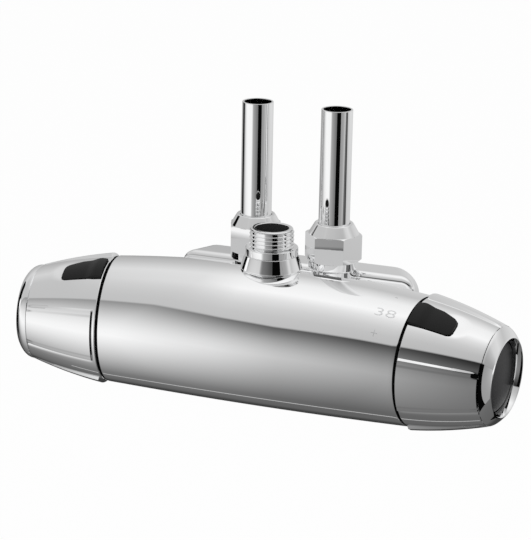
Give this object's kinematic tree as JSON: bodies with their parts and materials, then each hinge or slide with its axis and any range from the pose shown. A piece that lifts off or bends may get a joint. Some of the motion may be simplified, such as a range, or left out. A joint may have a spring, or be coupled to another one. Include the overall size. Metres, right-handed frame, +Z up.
{
  "type": "shower mixer",
  "caption": "Wall-mounted thermostatic shower mixer: bowed chrome barrel with padded end knobs, press buttons, top supply pipes and a threaded top outlet.",
  "frame": {"origin": "on the wall plane, at mid-width and at the height of the barrel's axis", "axes": "+X to the right along the mixer, +Y into the wall, +Z up"},
  "size_m": [0.244, 0.0873, 0.1385],
  "materials": {
    "chrome": "polished chrome plating",
    "chrome_pipe": "polished chromed copper pipe",
    "brass": "machined brass",
    "steel": "stainless steel",
    "black_plastic": "matte black plastic",
    "dark_cap": "satin dark grey plastic",
    "white_plastic": "moulded plastic",
    "ceramic": "ground ceramic"
  },
  "bodies": {
    "mixer": {"mixer_body": "chrome", "wall_cover": "chrome", "wall_plate": "steel", "outlet_nipple": "chrome", "outlet_skirt": "chrome", "fixed_disc": "ceramic", "return_spring": "steel", "hot_nut": "chrome", "hot_olive": "brass", "hot_pipe": "chrome_pipe", "hot_valve_cage": "white_plastic", "hot_valve_spring": "steel", "cold_nut": "chrome", "cold_olive": "brass", "cold_pipe": "chrome_pipe", "cold_valve_cage": "white_plastic", "cold_valve_spring": "steel", "flow_cartridge": "brass", "flow_lock_nut": "brass", "flow_stop_ring": "white_plastic", "temp_cartridge": "brass", "temp_lock_nut": "brass", "temp_stop_ring": "white_plastic"},
    "flow_knob_body": {"flow_knob": "chrome", "flow_button_spring": "steel", "flow_end_ring": "chrome", "flow_end_cap": "dark_cap", "flow_hub": "white_plastic", "flow_hub_screw": "steel", "flow_spindle": "brass", "moving_disc": "ceramic"},
    "flow_button_body": {"flow_button": "black_plastic"},
    "temp_knob_body": {"temp_knob": "chrome", "temp_button_spring": "steel", "temp_end_ring": "chrome", "temp_end_cap": "dark_cap", "temp_hub": "white_plastic", "temp_hub_screw": "steel", "temp_spindle": "brass"},
    "temp_button_body": {"temp_button": "black_plastic"},
    "spool_body": {"mixing_spool": "white_plastic", "wax_element": "brass"},
    "hot_poppet_body": {"hot_poppet": "white_plastic"},
    "cold_poppet_body": {"cold_poppet": "white_plastic"}
  },
  "joints": [
    {"name": "flow_turn", "type": "hinge", "parent": "mixer", "child": "flow_knob_body", "pos_m": [-0.077, -0.0554, 0], "axis": [-0.9903, -0.1389, 0], "range_deg": [0, 100]},
    {"name": "flow_press", "type": "slide", "parent": "flow_knob_body", "child": "flow_button_body", "axis": [-0.052, 0.371, -0.9272], "range_m": [0, 0.0018], "stiffness_N_per_m": 600, "springref_m": -0.001, "deforming": ["flow_button_spring"]},
    {"name": "temp_turn", "type": "hinge", "parent": "mixer", "child": "temp_knob_body", "pos_m": [0.077, -0.0554, 0], "axis": [0.9903, -0.1389, 0], "range_deg": [-140, 45]},
    {"name": "temp_press", "type": "slide", "parent": "temp_knob_body", "child": "temp_button_body", "axis": [0.0631, 0.4496, -0.891], "range_m": [0, 0.0018], "stiffness_N_per_m": 600, "springref_m": -0.001, "deforming": ["temp_button_spring"]},
    {"name": "spool_slide", "type": "slide", "parent": "mixer", "child": "spool_body", "axis": [0.9903, -0.1389, 0], "range_m": [-0.0004, 0.0008], "deforming": ["return_spring"]},
    {"name": "hot_valve_slide", "type": "slide", "parent": "mixer", "child": "hot_poppet_body", "axis": [0, 0, -1], "range_m": [0, 0.0025], "stiffness_N_per_m": 100, "springref_m": -0.002, "deforming": ["hot_valve_spring"]},
    {"name": "cold_valve_slide", "type": "slide", "parent": "mixer", "child": "cold_poppet_body", "axis": [0, 0, -1], "range_m": [0, 0.0025], "stiffness_N_per_m": 100, "springref_m": -0.002, "deforming": ["cold_valve_spring"]}
  ],
  "couplings": [
    {"joint": "spool_slide", "follows": "temp_turn", "m_per_rad": -0.0002865}
  ]
}
